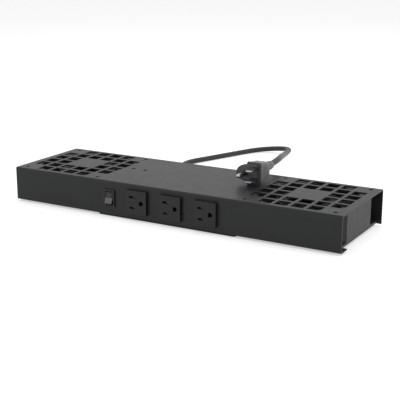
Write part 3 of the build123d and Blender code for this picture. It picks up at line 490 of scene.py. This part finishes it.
def cord_relief():
    """Moulded relief: a barbed bush in the panel, a round flange and a tapered sleeve on the cord.

    The sleeve's radius falls evenly from its root to its tip, and its ring slots sink to a floor radius.
    """
    bore = cord_radius + 0.1
    inside = rear - 1.5
    bush_end = inside - 9.0
    bush_radius = 6.0
    barb_radius = 8.3
    neck_radius = 7.5
    flange_radius = 9.5
    flange_bevel = 0.5
    sleeve_start = rear + 2.0
    sleeve_end = rear + 24.0
    sleeve_foot = 7.6
    root_radius = 6.6
    tip_radius = 4.9
    tip_bevel = 0.25
    slot_floor = 4.35
    turn = ring_angles(64)
    bush = [(bore, bush_end), (bush_radius, bush_end), (barb_radius, inside - 1.0), (barb_radius, inside),
            (neck_radius, inside), (neck_radius, rear)]
    flange = [(flange_radius - flange_bevel, rear), (flange_radius, rear + 0.4), (flange_radius, rear + 1.4),
              (flange_radius - flange_bevel, sleeve_start), (sleeve_foot, sleeve_start + 0.1)]
    body_r = np.repeat(column([radius for radius, y in bush + flange]), len(turn), axis=1)
    body_y = column([y for radius, y in bush + flange])
    y = np.linspace(sleeve_start + 0.8, sleeve_end - 0.5, 110)
    share = (y - y[0]) / (y[-1] - y[0])
    taper = (root_radius + (tip_radius - root_radius) * share)[:, None]
    slots = ring_slots(turn, y, first=sleeve_start + 2.4, pitch=3.3, open_share=0.4, edge=0.08, count=6,
                       bridge=0.22)
    sleeve_r = taper - (taper - slot_floor) * slots
    ends_r = np.repeat(column([tip_radius - tip_bevel, bore, bore]), len(turn), axis=1)
    ends_y = column([sleeve_end, sleeve_end, bush_end])
    radii = np.concatenate([body_r, sleeve_r, ends_r])
    heights = np.concatenate([body_y, y[:, None], ends_y])
    made = piece("cord_relief", [round_shell(radii, heights, turn, (grip_x, 0, grip_z), "y")],
                 finishes["cord_rubber"], "root", crease=30.0)
    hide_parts("cord_grip")
    return made


# Plug

plug_low, plug_high = node_box("plug_body")
plug_middle = (plug_low[2] + plug_high[2]) / 2
plug_tall = plug_high[2] - plug_low[2]
plug_face = plug_low[1]
plug_end = plug_high[1]
plug_right = plug_high[0]
plug_nose = plug_low[0]
square_left = 71.0
nose_half = 9.8
outline_x = 75.0
outline_points = 168
tail_x = 77.0
bridge_deep = 4.0
rim_back = 0.5
grip_start = plug_face + bridge_deep
grip_end = plug_face + 26.5
blade_thick = 1.5
sleeve_long = 10.5
sleeve_wall = 0.5


def soft_max(first, second, blend):
    """The larger of two lengths, with a fillet of about `blend` where they cross."""
    return blend * np.logaddexp(first / blend, second / blend)


def plug_outline(turn, inset, more_right=0.0, more_high=0.0):
    """Radius of the plug's D about (outline_x, plug_middle): the larger of a rounded square's and the nose's.

    The nose is an ellipse about another centre, and its radius solves the ray's quadratic. `inset` draws in
    the whole outline, and `more_right` and `more_high` draw in the square more.
    """
    square_power = 13.0
    corner_blend = 0.35
    cos = np.cos(turn)
    sin = np.sin(turn)
    half_right = plug_right - inset - more_right - outline_x
    half_left = outline_x - square_left - inset
    half_high = plug_tall / 2 - inset - more_high
    square = oblong_radius(turn, np.where(cos > 0, half_right, half_left), half_high, square_power)
    nose_x = square_left - plug_nose - inset
    nose_z = nose_half - inset
    shift = outline_x - square_left
    a = (cos / nose_x) ** 2 + (sin / nose_z) ** 2
    b = shift * cos / nose_x ** 2
    c = (shift / nose_x) ** 2 - 1
    nose = (-b + np.sqrt(b * b - a * c)) / a
    return soft_max(square, nose, corner_blend)


def plug_ring(turn, radius, y):
    """One ring of points round (outline_x, plug_middle) at depth y."""
    x = outline_x + radius * np.cos(turn)
    z = plug_middle + radius * np.sin(turn)
    return np.stack([x, np.full_like(x, y), z], axis=-1)


def outline_plate(levels, more_right=0.0, more_high=0.0):
    """Closed plate of the plug's outline, from (inset, y) pairs, with flat ends that close at outline_x."""
    turn = ring_angles(outline_points)
    first_y = levels[0][1]
    last_y = levels[-1][1]
    outlines = [plug_outline(turn, inset, more_right, more_high) for inset, y in levels]
    rows = [plug_ring(turn, share * outlines[0], first_y) for share in (0.0, 0.35, 0.7)]
    rows += [plug_ring(turn, outline, y) for outline, (inset, y) in zip(outlines, levels)]
    rows.append(plug_ring(turn, 0 * turn, last_y))
    return [(np.stack(rows), False, True)]


def plug_rim():
    """Rim round the plug's front: the D outline carried straight back, with a bevel round its face. Its colour
    is the grip's plastic made darker: painted shade on the front faces.
    """
    front = plug_face + rim_back
    levels = [(0.6, front), (0.15, front + 0.2), (0.0, front + 0.6),
              (0.0, grip_start - 0.4), (0.4, grip_start), (2.5, grip_start)]
    return piece("plug_rim", outline_plate(levels), shaded_rim_plastic, "root", crease=25.0)


def plug_bridge():
    """Prong plate in the rim, a little proud: the outline drawn in, more at the right, top and bottom."""
    levels = [(1.5, plug_face), (1.2, plug_face + 0.2), (1.2, plug_face + 1.5)]
    plate = outline_plate(levels, more_right=3.4, more_high=1.2)
    return piece("plug_bridge", plate, bridge_plastic, "root", crease=25.0)


def grip_rows(turn):
    """Middle, radius and depth of the grip's rings, from the D outline to a rounded shoulder.

    The radius is a weighted mean of the two, less shallow sine waves on the flat sides, the finger grooves.
    """
    shoulder_wide = 10.6
    shoulder_high = 9.5
    blend_start = grip_start + 5.0
    steady_share = 0.55
    groove_start = grip_start + 4.0
    groove_end = grip_start + 17.5
    groove_pitch = 3.4
    groove_deep = 0.36
    groove_fade = 1.5
    first_y = [grip_start, grip_start, grip_start + 0.3, grip_start + 0.9]
    y = np.concatenate([first_y, np.linspace(grip_start + 1.6, grip_end, 46)])
    share = np.clip((y - blend_start) / (grip_end - blend_start), 0.0, 1.0)
    share = steady_share * share + (1 - steady_share) * smooth_step(share)
    near = plug_outline(turn, inset=1.1)
    far = oblong_radius(turn, shoulder_wide, shoulder_high, power=5.0)
    radius = near[None, :] * (1 - share[:, None]) + far[None, :] * share[:, None]
    wave = groove_deep * (np.sin((y - groove_start) / groove_pitch * 2 * np.pi) - 1)
    window = smooth_step((y - groove_start) / groove_fade) * smooth_step((groove_end - y) / groove_fade)
    flat_side = smooth_step((np.abs(np.cos(turn)) - 0.55) / 0.25)
    radius = radius + (wave * window)[:, None] * flat_side[None, :]
    radius[0] = 0.0
    radius[1] -= 0.7
    radius[2] -= 0.2
    return outline_x + (tail_x - outline_x) * share, radius, y


def tail_rows(turn):
    """Radius and depth of the tail's rings: an even taper with ring slots down to a floor radius."""
    root_radius = 6.6
    tip_radius = 5.0
    slot_floor = 4.4
    y = np.linspace(grip_end + 0.4, plug_end - 0.6, 64)
    share = (y - y[0]) / (y[-1] - y[0])
    taper = (root_radius + (tip_radius - root_radius) * share)[:, None]
    slots = ring_slots(turn, y, first=grip_end + 3.0, pitch=4.5, open_share=0.34, edge=0.07, count=4,
                       bridge=0.2)
    return taper - (taper - slot_floor) * slots, y


def plug_grip():
    """Soft grip of the plug and, behind its shoulder, the round tail with its ring slots: one closed form."""
    tail_end = 4.6
    turn = ring_angles(outline_points)
    middle, grip_radii, grip_y = grip_rows(turn)
    tail_radii, tail_y = tail_rows(turn)
    ends = np.repeat(column([tail_end, 0.0]), len(turn), axis=1)
    radii = np.concatenate([grip_radii, tail_radii, ends])
    depths = np.concatenate([grip_y, tail_y, [plug_end, plug_end]])
    middles = np.concatenate([middle, np.full(len(tail_y) + len(ends), tail_x)])
    x = middles[:, None] + radii * np.cos(turn)
    z = plug_middle + radii * np.sin(turn)
    grid = np.stack([x, np.broadcast_to(depths[:, None], x.shape), z], axis=-1)
    made = piece("plug_grip", [(grid, False, True)], finishes["plug_plastic"], "root",
                 crease=30.0)
    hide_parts("plug_body")
    return made


def blade_middles():
    """Heights of the middles of the two blades."""
    low, high = node_box("plug_blades")
    return low[2] + blade_thick / 2, high[2] - blade_thick / 2


def plug_prongs():
    """Two flat blades, each a thin plate whose rows go from its hole's circle out to the blade's outline."""
    hole_radius = 1.6
    hole_bevel = 0.15
    edge_bevel = 0.4
    half_thick = blade_thick / 2
    low, high = node_box("plug_blades")
    hole_y = low[1] + 4.3
    middle_x = (low[0] + high[0]) / 2
    half_x = (high[0] - low[0]) / 2
    front_reach = hole_y - low[1]
    rear_reach = high[1] - hole_y
    corners = [math.atan2(y, x) for x, y in ((half_x, -front_reach), (half_x, rear_reach),
                                             (-half_x, rear_reach), (-half_x, -front_reach))]
    turn = np.sort(np.concatenate([np.linspace(-np.pi, np.pi, 48, endpoint=False), corners]))

    def outline(inset):
        """Distance to the blade's edge at each angle: the nearer of its side and its end."""
        end = np.where(np.sin(turn) > 0, rear_reach, front_reach) - inset
        side = (half_x - inset) / np.maximum(np.abs(np.cos(turn)), tiny)
        return np.minimum(side, end / np.maximum(np.abs(np.sin(turn)), tiny))

    hole = np.full(len(turn), hole_radius)
    upper = [(hole, half_thick - hole_bevel), (hole + hole_bevel, half_thick),
             (outline(edge_bevel), half_thick), (outline(0.0), half_thick - edge_bevel)]
    lower = [(radius, -height) for radius, height in reversed(upper)]
    shells = []
    for middle_z in blade_middles():
        rows = [np.stack([middle_x + radius * np.cos(turn), hole_y + radius * np.sin(turn),
                          np.full_like(radius, middle_z + height)], axis=-1)
                for radius, height in upper + lower]
        shells.append((np.stack(rows), True, True))
    made = piece("plug_prongs", shells, finishes["prong_metal"], "root", crease=30.0)
    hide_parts("plug_blades")
    return made


def root_shade_sleeves():
    """Dark sleeves round the roots of the blades and of the earth pin: painted shade and painted dark
    reflection at those roots.

    Each is a tube of even wall, a circle round the pin and a rounded oblong round a blade, with its front end
    bevelled and its root flared.
    """
    clearance = 0.02
    bevel = 0.2
    flare = 0.5
    flare_long = 0.8
    root_sink = 0.4
    oblong_power = 6.0
    turn = ring_angles(48)
    profile = [(clearance, root_sink), (clearance, -sleeve_long),
               (sleeve_wall - bevel, -sleeve_long), (sleeve_wall, bevel - sleeve_long),
               (sleeve_wall, -flare_long), (sleeve_wall + flare, root_sink)]
    heights = column([plug_face + y for more, y in profile])
    low, high = node_box("plug_ground_pin")
    pin_radius = (high[0] - low[0]) / 2
    radii = column([pin_radius + more for more, y in profile])
    grid = round_shell(radii, heights, turn, ((low[0] + high[0]) / 2, 0, plug_middle), "y")[0]
    shells = [(grid, True, True)]
    low, high = node_box("plug_blades")
    half_x = (high[0] - low[0]) / 2
    for middle_z in blade_middles():
        radii = np.stack([oblong_radius(turn, half_x + more, blade_thick / 2 + more, oblong_power)
                          for more, y in profile])
        grid = round_shell(radii, heights, turn, ((low[0] + high[0]) / 2, 0, middle_z), "y")[0]
        shells.append((grid, True, True))
    return piece("prong_root_shade_sleeves", shells, root_shade_plastic, "root", crease=40.0)


# Screws and nuts

thread_crest = 1.5
thread_sink = 0.13
thread_pitch = 0.5
flush_rim = 2.2615
pan_radius = 3.2


def cross_radius(turn, reach, half_wide):
    """Radius of a plus-shaped hole: to the arm's end, or to the arm's side, whichever is nearer."""
    off = np.abs((turn + np.pi / 4) % (np.pi / 2) - np.pi / 4)
    return np.minimum(reach / np.cos(off), half_wide / np.maximum(np.sin(off), tiny))


def cross_angles(reach, half_wide):
    """Angles round a cross: each arm's middle and corners, each notch, and two on either side of a notch."""
    corner = math.atan2(half_wide, reach)
    notch = np.pi / 4
    beside = [(2 * corner + notch) / 3, (corner + 2 * notch) / 3]
    beyond = [2 * notch - angle for angle in reversed(beside)]
    quarter = np.array([-corner, 0.0, corner, *beside, notch, *beyond])
    return np.concatenate([quarter + number * np.pi / 2 for number in range(4)])


def screw_shell(place, head, shank_end, sign, recess):
    """Screw about a vertical axis: cross recess, turned head, and a shank that is wound like a thread.

    `recess` is the cross's reach, half width and depth. `head` lists (radius, depth) from the face to the
    shank, with depth measured into the screw. The thread's radius falls and rises once in each pitch, later
    by the angle's share of a turn.
    """
    reach, half_wide, deep = recess
    turn = cross_angles(reach, half_wide)
    mouth = cross_radius(turn, reach, half_wide)
    face = head[0][1]
    start = head[-1][1]
    recess_rows = [(0.0, 1.15), (0.5, 1.0), (0.72, 0.9), (1.0, 0.0)]
    radii = [share * mouth for share, depth_share in recess_rows]
    depths = [face + deep * depth_share for share, depth_share in recess_rows]
    radii += [np.full(len(turn), radius) for radius, depth in head]
    depths += [depth for radius, depth in head]
    steps = np.arange(start + 0.2, shank_end - 0.3, thread_pitch / 4)
    phase = (steps[:, None] - start) / thread_pitch - turn[None, :] / (2 * np.pi)
    threads = thread_crest - thread_sink * 2 * np.abs(phase % 1.0 - 0.5)
    end_radius = thread_crest - 0.35
    radii = np.concatenate([np.stack(radii), threads, [np.full(len(turn), end_radius)], [0 * mouth]])
    depths = np.concatenate([depths, steps, [shank_end, shank_end]])
    return round_shell(radii, depths[:, None], turn, place, "z", sign)


def group_places(name, count_x, count_y, half):
    """Centres of a group of fasteners at the corners of its box, `half` a head inside."""
    low, high = node_box(name)
    xs = np.linspace(low[0] + half, high[0] - half, count_x)
    ys = np.linspace(low[1] + half, high[1] - half, count_y)
    return [(x, y) for x in xs for y in ys]


def flush_screws(name, node, count_y):
    """Countersunk screws in the top plate."""
    low, high = node_box(node)
    top = high[2]
    head = [(flush_rim - 0.12, 0.0), (flush_rim, 0.08), (thread_crest, 0.9)]
    recess = (1.35, 0.36, 0.75)
    shells = [screw_shell((x, y, top), head, top - low[2], -1.0, recess)
              for x, y in group_places(node, 2, count_y, flush_rim)]
    made = piece(name, shells, finishes["black_screws"], "root", crease=40.0)
    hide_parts(node)
    return made


def pan_screws():
    """Pan-head screws under the cover, heads down."""
    low, high = node_box("cover_screws")
    head = [(2.2, 0.0), (2.7, 0.08), (3.05, 0.32), (pan_radius, 0.7), (pan_radius, 1.0), (thread_crest, 1.0)]
    recess = (1.7, 0.42, 1.1)
    shells = [screw_shell((x, y, low[2]), head, high[2] - low[2], 1.0, recess)
              for x, y in group_places("cover_screws", 2, 2, pan_radius)]
    made = piece("cover_pan_screws", shells, finishes["black_screws"], "root", crease=40.0)
    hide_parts("cover_screws")
    return made


def nut_shell(place, flats, low, high, bore, axis="z"):
    """Hexagon nut: at each angle the flat's distance over its cosine, cut by a cone that rounds its faces."""
    cone_angle = math.radians(30.0)
    face_share = 0.97
    chamfer = 0.25
    turn = ring_angles(72)
    off = (turn + np.pi / 6) % (np.pi / 3) - np.pi / 6
    hexagon = flats / 2 / np.cos(off)
    circle = np.full(len(turn), flats / 2 * face_share)
    drop = (hexagon - circle) * math.tan(cone_angle)
    thread = np.full(len(turn), bore)
    flat = 0 * turn
    radii = np.stack([thread, thread + chamfer, circle, hexagon, hexagon, circle, thread + chamfer, thread])
    heights = np.stack([low + chamfer + flat, low + flat, low + flat, low + drop,
                        high - drop, high + flat, high + flat, high - chamfer + flat])
    grid = round_shell(radii, heights, turn, place, axis)[0]
    return grid, True, True


def hexagon_nuts():
    """Nuts under the fans' flanges and the one on the earth stud."""
    fan_nut_flats = 5.5
    fan_nut_bore = 1.52
    earth_nut_flats = 7.0
    earth_nut_bore = 2.02
    steel = finishes["plated_steel"]
    for side in ("left", "right"):
        node = side + "_fan_nuts"
        low, high = node_box(node)
        shells = [nut_shell((x, y, 0), fan_nut_flats, low[2], high[2], fan_nut_bore)
                  for x, y in group_places(side + "_fan_screws", 2, 2, flush_rim)]
        made = piece(side + "_fan_hex_nuts", shells, steel, "root", crease=25.0)
        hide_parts(node)
    low, high = node_box("earth_nut")
    centre = ((low[0] + high[0]) / 2, 0, (low[2] + high[2]) / 2)
    shell = nut_shell(centre, earth_nut_flats, low[1], high[1], earth_nut_bore, "y")
    made = piece("earth_hex_nut", [shell], steel, "root", crease=25.0)
    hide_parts("earth_nut")


# Marks on the rocker

crest_y = -61.703
crest_z = 23.221
rocker_tilt = math.radians(20.0)
print_thick = 0.06
print_sink = -0.02


def on_half(across, along, lift, lean, way):
    """Points of the rocker's half that leans by `lean`, up (way 1) or down (way -1) from the crest.

    A point goes along the half by `along` and sideways by `across`, and stands off it by `lift`.
    """
    low, high = node_box("switch_rocker")
    crest = np.array([(low[0] + high[0]) / 2, crest_y, crest_z])
    right = np.array([1.0, 0.0, 0.0])
    away = np.array([0.0, way * math.sin(lean), way * math.cos(lean)])
    out = np.array([0.0, -math.cos(lean), math.sin(lean)])
    return crest + across[..., None] * right + along[..., None] * away + lift[..., None] * out


def rocker_marks():
    """Printed ring on the rocker's upper half and printed bar on its lower half, each a thin flat shell.

    The lower half leans by the rocker's whole tilt. The ring is two circles, and the bar a rounded oblong.
    """
    ring_up = 3.6
    ring_inner = 1.15
    ring_outer = 1.65
    bar_down = 3.7
    bar_half_wide = 0.28
    bar_half_long = 1.7
    turn = ring_angles(40)
    radii = column([ring_inner, ring_inner, ring_outer, ring_outer])
    lift = column([print_sink, print_thick, print_thick, print_sink]) + 0 * turn
    ring = on_half(radii * np.cos(turn), ring_up + radii * np.sin(turn), lift, 0.0, 1.0)
    scale = column([0.0, 1.0, 1.0, 0.0]) * oblong_radius(turn, bar_half_wide, bar_half_long, power=8.0)
    lift = column([print_sink, print_sink, print_thick, print_thick]) + 0 * turn
    bar = on_half(scale * np.cos(turn), bar_down + scale * np.sin(turn), lift, rocker_tilt, -1.0)
    shells = [(ring, True, True), (bar, False, True)]
    return piece("rocker_marks", shells, mark_print, "rocker", crease=40.0)


cord = mains_cord()
cord_pieces = [cord_relief(), plug_rim(), plug_bridge(), plug_grip(), plug_prongs(), root_shade_sleeves(),
               bundle_tie(), nodes["plug_ground_pin"]]

flush_screws("left_fan_cross_screws", "left_fan_screws", 2)
flush_screws("right_fan_cross_screws", "right_fan_screws", 2)
flush_screws("block_cross_screws", "block_screws", 1)
pan_screws()
hexagon_nuts()
rocker_marks()


# Floor and light

white = (1.0, 1.0, 1.0, 1.0)
floor_reach = 6.0
floor_dark = (0.9, 0.9, 0.9)
floor_light = (0.92, 0.92, 0.92)
floor_glow = 0.47
world_light = 0.45
world_seen = 1.0
softboxes = [
    ("top_softbox", (0.1, 0.3, 1.6), 2.2, 12.0),
    ("right_softbox", (1.7, 0.1, 0.7), 1.2, 7.0),
    ("front_softbox", (-0.93, -1.46, 0.6), 0.5, 3.6),
]


def seen_rays(tree):
    """1 for rays from the camera and for rays that mirror or pass through, else 0."""
    path = tree.nodes.new("ShaderNodeLightPath")
    value = path.outputs["Is Camera Ray"]
    for kind in ("Is Glossy Ray", "Is Transmission Ray"):
        either = tree.nodes.new("ShaderNodeMath")
        either.operation = "MAXIMUM"
        tree.links.new(value, either.inputs[0])
        tree.links.new(path.outputs[kind], either.inputs[1])
        value = either.outputs[0]
    return value


def studio_floor():
    """Pale square under the unit, which glows a little for the rays that see it."""
    mesh = bpy.data.meshes.new("floor")
    corners = [(x * floor_reach, y * floor_reach, 0.0) for x, y in ((-1, -1), (1, -1), (1, 1), (-1, 1))]
    mesh.from_pydata(corners, [], [(0, 1, 2, 3)])
    floor = bpy.data.objects.new("floor", mesh)
    bpy.context.scene.collection.objects.link(floor)
    made, tree, shader, place = new_finish("pale_floor", floor_dark, 0.9)
    shade_between(tree, noise(tree, place, 4.0), floor_dark, floor_light, shader.inputs["Base Color"])
    shader.inputs["Emission Color"].default_value = white
    glow = spread(tree, seen_rays(tree), 0.0, floor_glow, start=0.0, end=1.0)
    tree.links.new(glow, shader.inputs["Emission Strength"])
    mesh.materials.append(made)


def studio_world():
    """White surroundings, weaker as a light than as they are seen."""
    world = bpy.data.worlds.new("studio")
    world.use_nodes = True
    bpy.context.scene.world = world
    tree = world.node_tree
    sky = tree.nodes["Background"]
    sky.inputs["Color"].default_value = white
    strength = spread(tree, seen_rays(tree), world_light, world_seen, start=0.0, end=1.0)
    tree.links.new(strength, sky.inputs["Strength"])


def studio_lamps():
    """Soft lamps turned to the origin: one above, one at the right and a weak one at the front."""
    for name, place, size, power in softboxes:
        lamp = bpy.data.lights.new(name, "AREA")
        lamp.size = size
        lamp.energy = power
        made = bpy.data.objects.new(name, lamp)
        made.location = place
        made.rotation_euler = (-Vector(place)).to_track_quat("-Z", "Y").to_euler()
        bpy.context.scene.collection.objects.link(made)


studio_floor()
studio_world()
studio_lamps()
bpy.context.scene.view_settings.view_transform = "Standard"
